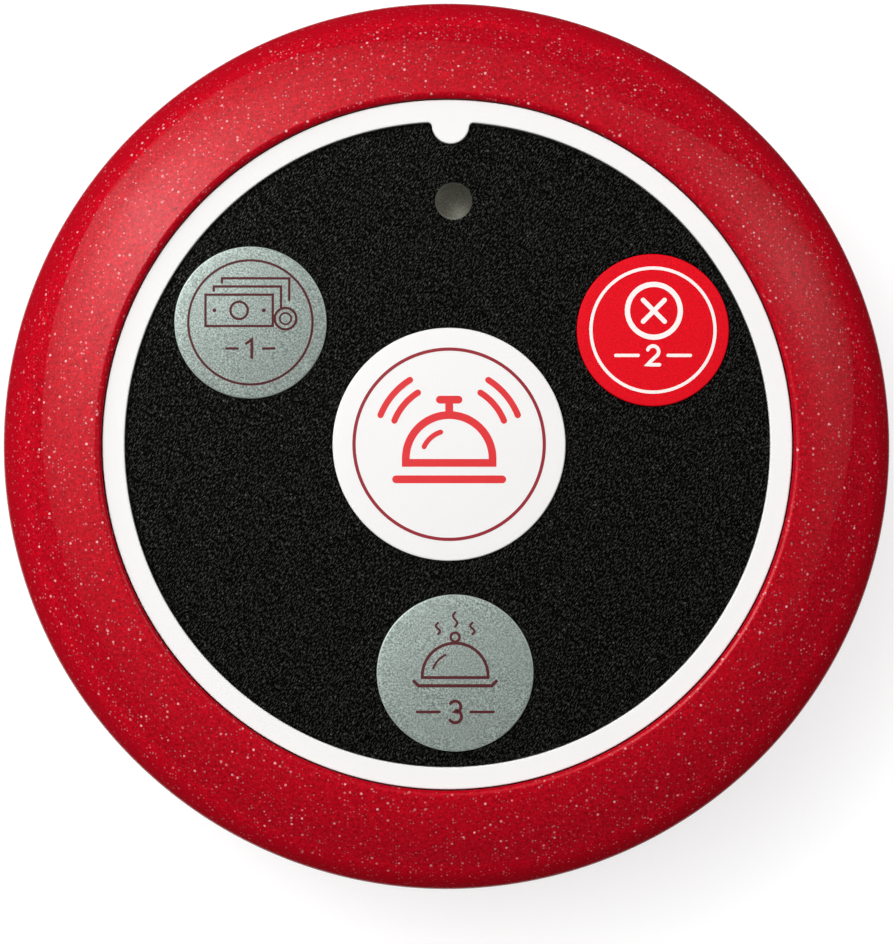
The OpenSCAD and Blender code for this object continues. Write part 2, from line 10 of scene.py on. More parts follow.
import bpy
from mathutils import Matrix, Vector


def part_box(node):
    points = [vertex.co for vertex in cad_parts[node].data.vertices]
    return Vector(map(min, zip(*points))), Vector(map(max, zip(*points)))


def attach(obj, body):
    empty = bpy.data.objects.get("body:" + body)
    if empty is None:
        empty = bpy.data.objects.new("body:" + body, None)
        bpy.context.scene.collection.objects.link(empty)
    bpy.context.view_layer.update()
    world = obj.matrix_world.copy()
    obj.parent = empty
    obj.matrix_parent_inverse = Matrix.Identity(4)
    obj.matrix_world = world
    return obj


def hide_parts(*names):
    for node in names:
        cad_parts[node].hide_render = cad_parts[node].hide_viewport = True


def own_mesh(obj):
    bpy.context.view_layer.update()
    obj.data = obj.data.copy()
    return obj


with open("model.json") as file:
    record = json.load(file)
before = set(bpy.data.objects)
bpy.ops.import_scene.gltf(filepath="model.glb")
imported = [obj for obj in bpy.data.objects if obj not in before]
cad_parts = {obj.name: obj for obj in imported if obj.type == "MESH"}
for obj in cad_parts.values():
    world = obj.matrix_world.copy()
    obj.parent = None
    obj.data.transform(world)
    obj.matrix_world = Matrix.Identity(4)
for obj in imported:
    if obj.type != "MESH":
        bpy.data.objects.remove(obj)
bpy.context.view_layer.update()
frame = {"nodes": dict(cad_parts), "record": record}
NODES = frame["nodes"]
MM = 0.001
TURN = 2 * math.pi

# Section of the body: radius and height of the whole, then the arcs of the domed top, shoulder and side
BODY_R, BODY_H = 30.0, 18.0
TOP_R, SHOULDER_R, SIDE_R, SLOPE = 11.0, 3.3, 20.0, 42.0
LIP_R, EDGE_R = 23.15, 0.4
SHOULDER_X = BODY_R - SHOULDER_R
TOP_X = SHOULDER_X - (TOP_R - SHOULDER_R) * math.sin(math.radians(SLOPE))
EDGE_X, EDGE_Z = LIP_R + EDGE_R, BODY_H - EDGE_R
TOP_Z = EDGE_Z - math.sqrt((TOP_R - EDGE_R) ** 2 - (EDGE_X - TOP_X) ** 2)
WIDEST_Z = TOP_Z + (TOP_R - SHOULDER_R) * math.cos(math.radians(SLOPE))
SIDE_X = BODY_R - SIDE_R

# Heights of the face: top of the film, top of the seat under it, top and foot of the white rim
FILM_Z, SEAT_Z, RIM_Z, RIM_LOW = 17.2, 16.95, 17.6, 16.05


# Camera: straight over the face, a little to the lower left
EYE = Vector((-4.3, -8.35, 378.0))
AIM = Vector((0.01, -1.777, WIDEST_Z))
FRAME_HEIGHT = 63.95
SENSOR = 36.0

camera = bpy.data.objects.new("camera", bpy.data.cameras.new("camera"))
bpy.context.scene.collection.objects.link(camera)
way = (AIM - EYE).normalized()
camera.rotation_euler = (math.asin(way.y), math.atan2(-way.x, -way.z), 0.0)
camera.location = EYE * MM
camera.data.sensor_width = SENSOR
camera.data.lens = SENSOR * (AIM - EYE).length / FRAME_HEIGHT
camera.data.clip_start = 0.01
camera.data.clip_end = 100.0
bpy.context.scene.camera = camera


# Shader helpers
class Nodes:
    """A node tree, with short ways to add nodes to it."""

    def __init__(self, tree):
        self.tree = tree

    def add(self, kind, inputs=None, **settings):
        made = self.tree.nodes.new("ShaderNode" + kind)
        for key, value in settings.items():
            setattr(made, key, value)
        for key, value in (inputs or {}).items():
            if isinstance(value, bpy.types.NodeSocket):
                self.tree.links.new(value, made.inputs[key])
            else:
                made.inputs[key].default_value = value
        return made

    def math(self, operation, a, b=None, c=None, clamp=False):
        inputs = {0: a}
        if b is not None:
            inputs[1] = b
        if c is not None:
            inputs[2] = c
        return self.add("Math", inputs, operation=operation, use_clamp=clamp).outputs[0]

    def vector(self, operation, a, b=None, scale=None):
        inputs = {0: a}
        if b is not None:
            inputs[1] = b
        if scale is not None:
            inputs["Scale"] = scale
        made = self.add("VectorMath", inputs, operation=operation)
        return made.outputs["Value" if operation in ("LENGTH", "DOT_PRODUCT") else "Vector"]

    def split(self, vector):
        """The x, y and z of a vector."""
        return self.add("SeparateXYZ", {"Vector": vector}).outputs

    def ramp(self, value, low, high, to_low=0.0, to_high=1.0, smooth=False):
        """Maps value from low..high to to_low..to_high, held at the ends."""
        made = self.add(
            "MapRange",
            {"Value": value, "From Min": low, "From Max": high, "To Min": to_low, "To Max": to_high},
            interpolation_type="SMOOTHSTEP" if smooth else "LINEAR",
        )
        return made.outputs["Result"]


class Shader(Nodes):
    """A material, with its surface shader and its place on the object."""

    def __init__(self, name):
        self.material = bpy.data.materials.new(name)
        self.material.use_nodes = True
        super().__init__(self.material.node_tree)
        self.bsdf = self.tree.nodes["Principled BSDF"]
        self.place = self.add("TexCoord").outputs["Object"]
        self.normal = self.add("NewGeometry").outputs["Normal"]

    def noise(self, size, detail=2.0, rough=0.5, place=None):
        """Noise whose features are about size millimetres across."""
        inputs = {
            "Vector": place or self.place,
            "Scale": 1 / (size * MM),
            "Detail": detail,
            "Roughness": rough,
        }
        return self.add("TexNoise", inputs).outputs["Fac"]

    def cells(self, size):
        """Voronoi cells of size millimetres: (distance from the cell's point, its random colour)."""
        inputs = {"Vector": self.place, "Scale": 1 / (size * MM), "Randomness": 1.0}
        made = self.add("TexVoronoi", inputs)
        return made.outputs["Distance"], made.outputs["Color"]

    def mix(self, share, a, b):
        made = self.add("Mix", data_type="RGBA")
        for socket, value in ((0, share), (6, a), (7, b)):
            if isinstance(value, bpy.types.NodeSocket):
                self.tree.links.new(value, made.inputs[socket])
            elif socket == 0:
                made.inputs[0].default_value = value
            else:
                made.inputs[socket].default_value = (*value, 1.0)
        return made.outputs[2]

    def bump(self, height, depth, normal=None):
        """Bump whose height of 0..1 stands for depth millimetres."""
        inputs = {"Height": height, "Distance": depth * MM, "Strength": 1.0}
        if normal is not None:
            inputs["Normal"] = normal
        return self.add("Bump", inputs).outputs["Normal"]

    def lean(self, push, normal=None):
        """The normal, pushed over by a vector."""
        return self.vector("NORMALIZE", self.vector("ADD", normal or self.normal, push))

    def set(self, **values):
        """Sets the surface's sockets; an underscore in a name stands for a space."""
        for key, value in values.items():
            socket = self.bsdf.inputs[key.replace("_", " ")]
            if isinstance(value, bpy.types.NodeSocket):
                self.tree.links.new(value, socket)
            elif isinstance(value, tuple) and len(value) == 3 and socket.type == "RGBA":
                socket.default_value = (*value, 1.0)
            else:
                socket.default_value = value
        return self.material


def scaled(colour, by):
    return tuple(min(1.0, c * by) for c in colour)


def moulded(name, colour, rough=0.4, vary=0.04, patch=4.0, grain=0.12, depth=0.004, **more):
    """Plain moulded or printed stuff: faint patches, uneven gloss and a fine grain."""
    s = Shader(name)
    patches = s.noise(patch, 3.0)
    fine = s.noise(grain, 3.0, 0.6)
    colour_out = s.mix(s.ramp(patches, 0.3, 0.7), scaled(colour, 1 - vary), scaled(colour, 1 + vary))
    colour_out = s.mix(s.ramp(fine, 0.3, 0.75, 0.0, 0.5), colour_out, scaled(colour, 1 - 2 * vary))
    more.setdefault("Specular_IOR_Level", 0.5)
    return s.set(
        Base_Color=colour_out,
        Roughness=s.ramp(s.noise(patch / 3, 3.0), 0.3, 0.7, rough * 0.9, rough * 1.1),
        Normal=s.bump(fine, depth),
        **more,
    )


def metal(name, colour, rough=0.3, stretch=(1.0, 1.0, 12.0), tarnish=0.25, depth=0.002):
    """Bare metal with fine drawn lines, patches of tarnish and uneven polish."""
    s = Shader(name)
    lines = s.add("Mapping", {"Vector": s.place, "Scale": stretch}).outputs["Vector"]
    drawn = s.noise(0.25, 4.0, 0.7, lines)
    patches = s.noise(2.5, 4.0, 0.6)
    colour_out = s.mix(s.ramp(patches, 0.45, 0.75, 0.0, tarnish), colour, scaled(colour, 0.55))
    return s.set(
        Base_Color=s.mix(s.ramp(drawn, 0.3, 0.7, 0.0, 0.25), colour_out, scaled(colour, 0.8)),
        Metallic=1.0,
        Roughness=s.ramp(patches, 0.3, 0.8, rough * 0.8, rough * 1.4),
        Normal=s.bump(drawn, depth),
    )


# Materials of the visible pieces
RED = (0.50, 0.0030, 0.0125)
SPECK = (1.0, 0.48, 0.50)

# Sorts of glitter: cell size in mm, radius of a flake in cells, share of the cells that stay empty,
# strength of the faintest and of the brightest flake, how rare the bright ones are, how much is added
# to the lacquer's metallic share and how far a flake tilts
GLITTER = (
    (0.36, 0.30, 0.82, 0.30, 1.0, 2.0, -0.5, 0.5),
    (0.19, 0.40, 0.50, 0.01, 0.54, 3.5, 0.6, 0.3),
)

# Upward part of the ring's normal over which the colour, the pearl, the glitter and the clear coat
# change between the outer slope and the top, and over which the coat comes back on the upright side.
# The darker colour and the dimmer glitter on the outer slope are painted shade.
PAINTED_SHADE_SLOPE, PEARL_SLOPE, GLITTER_SLOPE = (0.72, 0.79), (0.775, 0.81), (0.6, 0.8)
COAT_SLOPE, COAT_SIDE = (0.775, 0.80), (0.32, 0.12)


def red_lacquer():
    """Crimson pearl lacquer with glitter and painted shade on its outer slope, where the clear coat is
    missing.
    """
    s = Shader("red_lacquer_look")
    pearl = s.noise(0.20, 4.0, 0.75)
    height = s.split(s.normal)["Z"]
    colour = s.mix(s.ramp(pearl, 0.3, 0.7), scaled(RED, 0.45), scaled(RED, 1.52))
    # Painted shade: the colour darkens on the outer slope, where the normal turns away from straight up
    colour = s.mix(s.ramp(height, *PAINTED_SHADE_SLOPE), s.mix(0.8, colour, scaled(RED, 0.79)), colour)
    metallic = s.ramp(pearl, 0.3, 0.7, 0.18, 0.34)
    metallic = s.math("MULTIPLY", metallic, s.ramp(height, *PEARL_SLOPE, 0.15, 1.0))
    push = None
    for size, reach, empty, faint, bright, rare, shine, turn in GLITTER:
        distance, random = s.cells(size)
        parts = s.split(random)
        dot = s.ramp(distance, reach, reach * 0.5)
        level = s.math("POWER", s.ramp(parts["X"], empty, 1.0), rare)
        level = s.math("MULTIPLY_ADD", level, bright - faint, faint)
        # Painted shade: the glitter dims on the outer slope
        level = s.math("MULTIPLY", level, s.ramp(height, *GLITTER_SLOPE, 0.3, 1.0))
        filled = s.math("GREATER_THAN", parts["X"], empty)
        flake = s.math("MULTIPLY", dot, s.math("MULTIPLY", level, filled))
        colour = s.mix(flake, colour, SPECK)
        metallic = s.math("ADD", metallic, s.math("MULTIPLY", flake, shine), clamp=True)
        # Each flake lies at its own small angle in the lacquer
        tilt = s.vector("SUBTRACT", random, (0.5, 0.5, 0.5))
        tilt = s.vector("SCALE", tilt, scale=s.math("MULTIPLY", dot, turn))
        push = tilt if push is None else s.vector("ADD", push, tilt)
    coat = s.math("ADD", s.ramp(height, *COAT_SLOPE), s.ramp(height, *COAT_SIDE, 0.0, 0.95))
    # A fine unevenness of the coat gives the highlight its grain
    coat = s.math("MULTIPLY", coat, s.ramp(s.noise(0.11, 2.0), 0.38, 0.62, 0.62, 1.0))
    return s.set(
        Base_Color=colour,
        Metallic=metallic,
        Roughness=s.ramp(metallic, 0.35, 0.8, 0.42, 0.30),
        Specular_IOR_Level=0.0,
        Normal=s.lean(push),
        Coat_Weight=coat,
        Coat_Roughness=0.03,
        Coat_IOR=1.5,
    )


FILM_R = 21.55
GRAIN_TURN = 55.0


def black_film():
    """Black film with a short slanting grain whose pale strokes are partly painted glints; its edge bends
    down a little and catches the light.
    """
    s = Shader("black_film_look")
    slanting = s.add(
        "Mapping",
        {"Vector": s.place, "Rotation": (0.0, 0.0, math.radians(GRAIN_TURN)), "Scale": (2.4, 1.0, 1.0)},
        vector_type="TEXTURE",
    )
    grain = s.noise(0.09, 3.0, 0.6, slanting.outputs["Vector"])
    strokes_and_glints = s.ramp(grain, 0.52, 0.78)
    distance, random = s.cells(0.3)
    picked = s.ramp(s.split(random)["X"], 0.75, 1.0, 0.0, 0.8)
    specks = s.math("MULTIPLY", s.ramp(distance, 0.26, 0.12), picked)
    flat = s.vector("MULTIPLY", s.place, (1.0, 1.0, 0.0))
    far = s.vector("LENGTH", flat)
    edge = s.ramp(far, (FILM_R - 2.6) * MM, FILM_R * MM, 0.0, 0.14, smooth=True)
    crown = s.ramp(far, 0.0, FILM_R * MM, 0.0, 0.12)
    normal = s.lean(s.vector("SCALE", s.vector("NORMALIZE", flat), scale=s.math("ADD", edge, crown)))
    # The pale strokes are partly the grain's own tone and partly painted glints on the grain
    colour = s.mix(strokes_and_glints, (0.0012, 0.0012, 0.0011), (0.105, 0.105, 0.097))
    return s.set(
        Base_Color=s.mix(specks, colour, (0.10, 0.10, 0.09)),
        Roughness=s.ramp(grain, 0.3, 0.7, 0.5, 0.38),
        Metallic=s.ramp(grain, 0.52, 0.70, 0.0, 0.7),
        Specular_IOR_Level=0.015,
        Normal=s.bump(grain, 0.02, normal),
    )


# Lamp window: its place, how far the dish's normal leans for each metre from the middle, and the angle
# that the lean is turned by, so that the glow lies on the lower side
WINDOW_AT = (0.4, 16.3)
DISH_LEAN, DISH_TURN = 200.0, 60.0


def lamp_window():
    """Smoky clear film with a paler land round its dish."""
    s = Shader("clear_film_look")
    grain = s.noise(0.12, 3.0, 0.7)
    colour = s.mix(s.ramp(grain, 0.3, 0.7), (0.05, 0.05, 0.037), (0.12, 0.118, 0.092))
    land = s.ramp(s.split(s.place)["Z"], (FILM_Z - 0.012) * MM, (FILM_Z - 0.004) * MM)
    middle = (WINDOW_AT[0] * MM, WINDOW_AT[1] * MM, 0.0)
    inward = s.vector("SUBTRACT", s.place, middle)
    inward = s.vector("MULTIPLY", inward, (-DISH_LEAN, -DISH_LEAN, 0.0))
    turning = {"Vector": inward, "Angle": math.radians(DISH_TURN)}
    lean = s.add("VectorRotate", turning, rotation_type="Z_AXIS").outputs["Vector"]
    return s.set(
        Base_Color=s.mix(land, colour, (0.09, 0.09, 0.075)),
        Metallic=0.6,
        Roughness=0.34,
        Specular_IOR_Level=0.5,
        Normal=s.bump(grain, 0.01, s.lean(lean)),
    )


def key_film(name, colour, vary=0.03, rough=0.42, depth=0.006, grain=0.12, edge=1.0, **more):
    """Printed key film with a fine satin grain, whose rounded edge is edge times as bright: a painted
    highlight.
    """
    s = Shader(name)
    fine = s.noise(grain, 3.0, 0.7)
    patches = s.noise(3.0, 2.0)
    colour_out = s.mix(s.ramp(fine, 0.38, 0.62), scaled(colour, 1 - vary), scaled(colour, 1 + vary))
    colour_out = s.mix(s.ramp(patches, 0.3, 0.7, 0.0, 0.4), colour_out, scaled(colour, 0.98))
    # Painted highlight: the rounded edge, where the normal tilts away from straight up, is lighter
    painted_edge_highlight = s.ramp(s.split(s.normal)["Z"], 0.99, 0.90)
    more.setdefault("Specular_IOR_Level", 0.5)
    return s.set(
        Base_Color=s.mix(painted_edge_highlight, colour_out, scaled(colour, edge)),
        Roughness=s.ramp(fine, 0.3, 0.7, rough * 0.92, rough * 1.08),
        Normal=s.bump(fine, depth),
        **more,
    )


def housing_plastic():
    """White plastic, painted near-black on its upward faces under the film: painted shade in the gaps
    round the film.
    """
    s = Shader("housing_look")
    fine = s.noise(0.1, 3.0, 0.6)
    white = s.mix(s.ramp(fine, 0.3, 0.7), (0.84, 0.835, 0.825), (0.87, 0.865, 0.855))
    up = s.ramp(s.split(s.normal)["Z"], 0.5, 0.8)
    high = s.ramp(s.split(s.place)["Z"], (RIM_LOW - 0.1) * MM, (RIM_LOW - 0.05) * MM)
    return s.set(
        # Painted shade: upward faces at the film's seat are near-black, so the gaps round the film look
        # dark
        Base_Color=s.mix(s.math("MULTIPLY", up, high), white, (0.008, 0.008, 0.008)),
        Roughness=s.ramp(fine, 0.3, 0.7, 0.36, 0.44),
        Specular_IOR_Level=0.5,
        Normal=s.bump(fine, 0.002),
    )


def board_laminate():
    """Green solder mask over woven glass, with the copper areas showing through."""
    s = Shader("board_laminate_look")
    threads = {"Vector": s.place, "Scale": 1 / (3.2 * MM), "Distortion": 0.5}
    weave_x = s.add("TexWave", threads, bands_direction="X")
    weave_y = s.add("TexWave", threads, bands_direction="Y")
    weave = s.math("MULTIPLY", weave_x.outputs["Fac"], weave_y.outputs["Fac"])
    poured = s.ramp(s.noise(6.0, 0.0), 0.48, 0.5)
    colour = s.mix(poured, (0.012, 0.10, 0.04), (0.03, 0.17, 0.06))
    return s.set(
        Base_Color=s.mix(s.ramp(weave, 0.0, 1.0, 0.0, 0.3), colour, (0.02, 0.12, 0.05)),
        Roughness=0.35,
        Specular_IOR_Level=0.5,
        Normal=s.bump(weave, 0.01),
    )


LOOKS = {
    "red_lacquer": red_lacquer(),
    "white_plastic": moulded("white_plastic_look", (0.815, 0.81, 0.80), 0.38, 0.01, 6.0, 0.1, 0.002),
    "black_film": black_film(),
    "clear_film": lamp_window(),
    "white_key": key_film("white_key_look", (0.81, 0.80, 0.79), 0.012, 0.45),
    "grey_key": key_film(
        "grey_key_look", (0.54, 0.635, 0.59), 0.55, 0.38, 0.012, 0.11, edge=1.4, Metallic=0.75
    ),
    "red_key": key_film("red_key_look", (0.68, 0.003, 0.011), 0.18, 0.42, Specular_IOR_Level=0.06),
    "ivory_plastic": moulded("ivory_plastic_look", (0.80, 0.77, 0.68), 0.45, 0.03, 3.0),
    "black_plastic": moulded("black_plastic_look", (0.02, 0.02, 0.021), 0.5, 0.15, 1.5),
    "tinned_metal": metal("tinned_metal_look", (0.62, 0.62, 0.60), 0.32),
    "board_laminate": board_laminate(),
    "lamp_resin": moulded("lamp_resin_look", (0.78, 0.72, 0.42), 0.2, 0.05, 0.8, Coat_Weight=0.6),
    "clear_plastic": moulded(
        "clear_plastic_look", (0.93, 0.95, 0.97), 0.08, 0.01, 2.0, Transmission_Weight=0.9, IOR=1.49
    ),
    "tan_ceramic": moulded("tan_ceramic_look", (0.45, 0.33, 0.20), 0.5, 0.1, 0.8),
    "copper_wire": metal("copper_wire_look", (0.78, 0.40, 0.24), 0.3),
    "steel_can": metal("steel_can_look", (0.60, 0.60, 0.61), 0.24, (1.0, 12.0, 1.0)),
    "spring_contact": metal("spring_contact_look", (0.74, 0.62, 0.36), 0.28),
    "screw_steel": metal("screw_steel_look", (0.56, 0.56, 0.57), 0.28, (1.0, 1.0, 1.0), 0.35),
    "black_rubber": moulded("black_rubber_look", (0.022, 0.022, 0.023), 0.75, 0.2, 1.0, 0.2, 0.02),
}
for part in frame["record"]["subparts"]:
    for material_slot in NODES[part["node"]].material_slots:
        material_slot.material = LOOKS[part["material_slot"]]
for material_slot in NODES["top_housing"].material_slots:
    material_slot.material = housing_plastic()

INKS = {
    "crimson": moulded("crimson_ink", (0.30, 0.010, 0.022), 0.4, 0.06, 1.0),
    "scarlet": moulded("scarlet_ink", (0.72, 0.018, 0.024), 0.4, 0.04, 1.0),
    "maroon": moulded("maroon_ink", (0.085, 0.009, 0.012), 0.4, 0.08, 1.0),
    "white": moulded("white_ink", (0.90, 0.80, 0.78), 0.4, 0.02, 1.0),
}


# Mesh helpers
def piece(name, verts, faces, look, body, replaced=(), slot=None, sharp=30.0):
    """A mesh piece from points in millimetres. It rides on body and may stand for CAD nodes."""
    mesh = bpy.data.meshes.new(name)
    mesh.from_pydata([Vector(v) * MM for v in verts], [], faces)
    mesh.validate()
    mesh.shade_smooth()
    mesh.set_sharp_from_angle(angle=math.radians(sharp))
    mesh.materials.append(look)
    made = bpy.data.objects.new(name, mesh)
    bpy.context.scene.collection.objects.link(made)
    if body:
        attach(made, body)
    if replaced:
        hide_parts(*replaced)
    return made


def arc(x, z, r, start, end, steps):
    """Points of an arc round (x, z), from angle start to end in degrees."""
    angles = (math.radians(start + (end - start) * i / steps) for i in range(steps + 1))
    return [(x + r * math.cos(a), z + r * math.sin(a)) for a in angles]


def lathe(profile, sides, place=(0, 0), closed=True, start=0.0, sweep=360.0):
    """Turns a profile of (radius, z) about the vertical through place. A part turn is capped."""
    full = abs(sweep - 360.0) < 1e-6
    rings = sides if full else sides + 1
    verts, index = [], []
    for r, z in profile:
        if r < 1e-9:
            index.append([len(verts)] * rings)
            verts.append((place[0], place[1], z))
            continue
        index.append(list(range(len(verts), len(verts) + rings)))
        for i in range(rings):
            a = math.radians(start + sweep * i / sides)
            verts.append((place[0] + r * math.cos(a), place[1] + r * math.sin(a), z))
    faces = []
    pairs = list(zip(index, index[1:] + index[:1])) if closed else list(zip(index, index[1:]))
    for low, high in pairs:
        for i in range(sides):
            j = (i + 1) % rings
            face = list(dict.fromkeys((low[i], low[j], high[j], high[i])))
            if len(face) > 2:
                faces.append(face)
    if not full:
        faces.append([ring[0] for ring in index])
        faces.append([ring[-1] for ring in reversed(index)])
    return verts, faces


def joined(*solids):
    """Several (verts, faces) as one."""
    verts, faces = [], []
    for v, f in solids:
        faces += [[i + len(verts) for i in face] for face in f]
        verts += v
    return verts, faces


# Red ring
WALL, LIP_W, LIP_Z, RING_Z, BORE_R = 1.8, 1.5, 14.5, 3.6, 26.2
HOOKS, HOOK_ANGLE, HOOK_Z, HOOK_T = 6, 14.0, 12.4, 0.8
HOOK_IN, HOOK_OUT = 26.15, 28.6


def ring_profile():
    """Section of the ring: its outside from the lip to the lower edge, then its inside back to the lip."""
    meet = math.degrees(math.atan2(EDGE_Z - TOP_Z, EDGE_X - TOP_X))
    inner_top, inner_side = TOP_R - WALL, SIDE_R - WALL
    lip_out = LIP_R + LIP_W
    lip_meet = math.degrees(math.acos((lip_out - TOP_X) / inner_top))
    bore_meet = -math.degrees(math.acos((BORE_R - SIDE_X) / inner_side))
    side_end = math.degrees(math.asin((RING_Z - WIDEST_Z) / SIDE_R))
    outer = [(LIP_R, LIP_Z), (LIP_R, EDGE_Z - 0.05)]
    outer += arc(EDGE_X, EDGE_Z, EDGE_R, 180, meet, 14)
    outer += arc(TOP_X, TOP_Z, TOP_R, meet, 90 - SLOPE, 40)[1:]
    outer += arc(SHOULDER_X, WIDEST_Z, SHOULDER_R, 90 - SLOPE, 0, 32)[1:]
    outer += arc(SIDE_X, WIDEST_Z, SIDE_R, 0, side_end, 24)[1:]
    inner = [(BORE_R, RING_Z)]
    inner += arc(SIDE_X, WIDEST_Z, inner_side, bore_meet, 0, 12)
    inner += arc(SHOULDER_X, WIDEST_Z, SHOULDER_R - WALL, 0, 90 - SLOPE, 8)[1:]
    inner += arc(TOP_X, TOP_Z, inner_top, 90 - SLOPE, lip_meet, 12)[1:]
    return outer + inner + [(lip_out, LIP_Z)]


hook = [(HOOK_IN, HOOK_Z), (HOOK_OUT, HOOK_Z), (HOOK_OUT, HOOK_Z + HOOK_T), (HOOK_IN, HOOK_Z + HOOK_T)]
hooks = [lathe(hook, 10, start=i * 360 / HOOKS, sweep=HOOK_ANGLE) for i in range(HOOKS)]
ring = joined(lathe(ring_profile(), 480), *hooks)
piece("red_ring", *ring, LOOKS["red_lacquer"], "casing", ["bezel_ring"], "red_lacquer")


# White rim with its tab
RIM_IN, RIM_OUT, RIM_EDGE = 21.6, 23.07, 0.1
TAB_C, TAB_R, FLARE_R = (0.2, 21.38), 1.25, 0.3


def circles_meet(centre, r, reach, side):
    """Point at distance r from centre and reach from the origin, on the given side of centre."""
    away = math.hypot(*centre)
    along = (reach**2 - r**2 + away**2) / (2 * away)
    off = math.sqrt(reach**2 - along**2) * side
    ux, uy = centre[0] / away, centre[1] / away
    return (ux * along + uy * off, uy * along - ux * off)


def toward(a, b):
    """Direction from a to b, in degrees."""
    return math.degrees(math.atan2(b[1] - a[1], b[0] - a[0]))


def rim_contour():
    """Rim's inner outline, anticlockwise from the tab's left side: (x, y, unit vector into the white)."""
    points = []

    def circle(c, r, start, end, steps, sign):
        for i in range(steps + 1):
            a = math.radians(start + (end - start) * i / steps)
            dx, dy = math.cos(a), math.sin(a)
            points.append((c[0] + r * dx, c[1] + r * dy, sign * dx, sign * dy))

    left, right = (circles_meet(TAB_C, TAB_R + FLARE_R, RIM_IN - FLARE_R, side) for side in (-1, 1))
    rim_left, rim_right = toward((0, 0), left), toward((0, 0), right)
    circle((0, 0), RIM_IN, rim_left, rim_right + 360, 400, 1)
    circle(right, FLARE_R, rim_right, toward(right, TAB_C), 10, 1)
    circle(TAB_C, TAB_R, toward(TAB_C, right), toward(TAB_C, left), 40, -1)
    circle(left, FLARE_R, toward(left, TAB_C), rim_left, 10, 1)
    kept = []
    for p in points:
        if not kept or math.dist(p[:2], kept[-1][:2]) > 1e-4:
            kept.append(p)
    if math.dist(kept[0][:2], kept[-1][:2]) < 1e-4:
        kept.pop()
    return kept


def rim_strip():
    """The rim's visible part: from the film's edge over the rounded top to the ring's lip."""
    contour = rim_contour()
    directions = [math.atan2(y, x) for x, y, _, _ in contour]
    steps, land = 6, 0.02

    def inner(inset, z):
        return [(x + nx * inset, y + ny * inset, z) for x, y, nx, ny in contour]

    def outer(r, z):
        return [(r * math.cos(a), r * math.sin(a), z) for a in directions]

    rows = [inner(0, SEAT_Z), inner(0, RIM_Z - RIM_EDGE - land)]
    for i in range(steps + 1):
        a = math.pi / 2 * i / steps
        rows.append(inner(RIM_EDGE * (1 - math.cos(a)), RIM_Z - RIM_EDGE * (1 - math.sin(a))))
    rows += [inner(RIM_EDGE + land, RIM_Z), outer(RIM_OUT - RIM_EDGE - land, RIM_Z)]
    for i in range(steps + 1):
        a = math.pi / 2 * i / steps
        rows.append(outer(RIM_OUT - RIM_EDGE * (1 - math.sin(a)), RIM_Z - RIM_EDGE * (1 - math.cos(a))))
    rows.append(outer(RIM_OUT, SEAT_Z))
    count = len(contour)
    verts = [v for row in rows for v in row]
    faces = []
    for k in range(len(rows)):
        nxt = (k + 1) % len(rows)
        for i in range(count):
            j = (i + 1) % count
            faces.append([k * count + j, k * count + i, nxt * count + i, nxt * count + j])
    return verts, faces


rim_foot = [(RIM_IN, RIM_LOW), (RIM_OUT, RIM_LOW), (RIM_OUT, SEAT_Z), (RIM_IN, SEAT_Z)]
rim = joined(rim_strip(), lathe(rim_foot, 400))
piece("white_rim", *rim, LOOKS["white_plastic"], "casing", ["face_rim"], "white_plastic")


# Lamp window: a disc with a shallow dish in its top
WINDOW_R, WINDOW_LAND, WINDOW_DISH = 1.25, 0.08, 0.1
dish_r = WINDOW_R - WINDOW_LAND
dish_ball = (dish_r**2 + WINDOW_DISH**2) / (2 * WINDOW_DISH)
dish_edge = math.degrees(math.asin(dish_r / dish_ball))
window = [(0.0, SEAT_Z), (WINDOW_R, SEAT_Z), (WINDOW_R, FILM_Z)]
window += arc(0.0, FILM_Z - WINDOW_DISH + dish_ball, dish_ball, dish_edge - 90, -90, 12)
window_solid = lathe(window, 96, WINDOW_AT, closed=False)
piece("lamp_window", *window_solid, LOOKS["clear_film"], "casing", ["led_window"], "clear_film")


# Keys
KEY_Z, KEY_CROWN, KEY_EDGE, FILM_T = 17.6, 0.2, 0.1, 0.25
KEYS = {
    "call": ((0.1, 0.0), 7.8, "white_key"),
    "pay": ((-13.2, 8.15), 5.1, "grey_key"),
    "cancel": ((13.75, 7.65), 5.1, "red_key"),
    "order": ((0.5, -15.3), 5.25, "grey_key"),
}


def crown_ball(r):
    """Radius of the sphere that a key's top is part of."""
    return (r**2 + KEY_CROWN**2) / (2 * KEY_CROWN)


def key_profile(r):
    """Hollow disc with a crowned top and a rounded edge, from the axis out and back."""
    ball = crown_ball(r)
    ball_z = KEY_Z - ball
    slope = math.degrees(math.asin((r - KEY_EDGE) / (ball - KEY_EDGE)))
    corner_z = ball_z + (ball - KEY_EDGE) * math.cos(math.radians(slope))
    under = KEY_Z - KEY_CROWN - FILM_T
    top = arc(0.0, ball_z, ball, 90, 90 - slope, 16)
    top[0] = (0.0, KEY_Z)
    top += arc(r - KEY_EDGE, corner_z, KEY_EDGE, 90 - slope, 0, 8)[1:]
    return top + [(r, SEAT_Z), (r - FILM_T, SEAT_Z), (r - FILM_T, under), (0.0, under)]


for name, (place, r, look) in KEYS.items():
    solid = lathe(key_profile(r)[::-1], 256, place, closed=False)
    piece(name + "_key_top", *solid, LOOKS[look], name + "_button", [name + "_key"], look)


# Snap domes of the switches, shown at rest; the real ones flatten as their key goes down
DOME_R, DOME_H, DOME_T, DOME_PRESSED = 2.3, 0.55, 0.12, 0.25


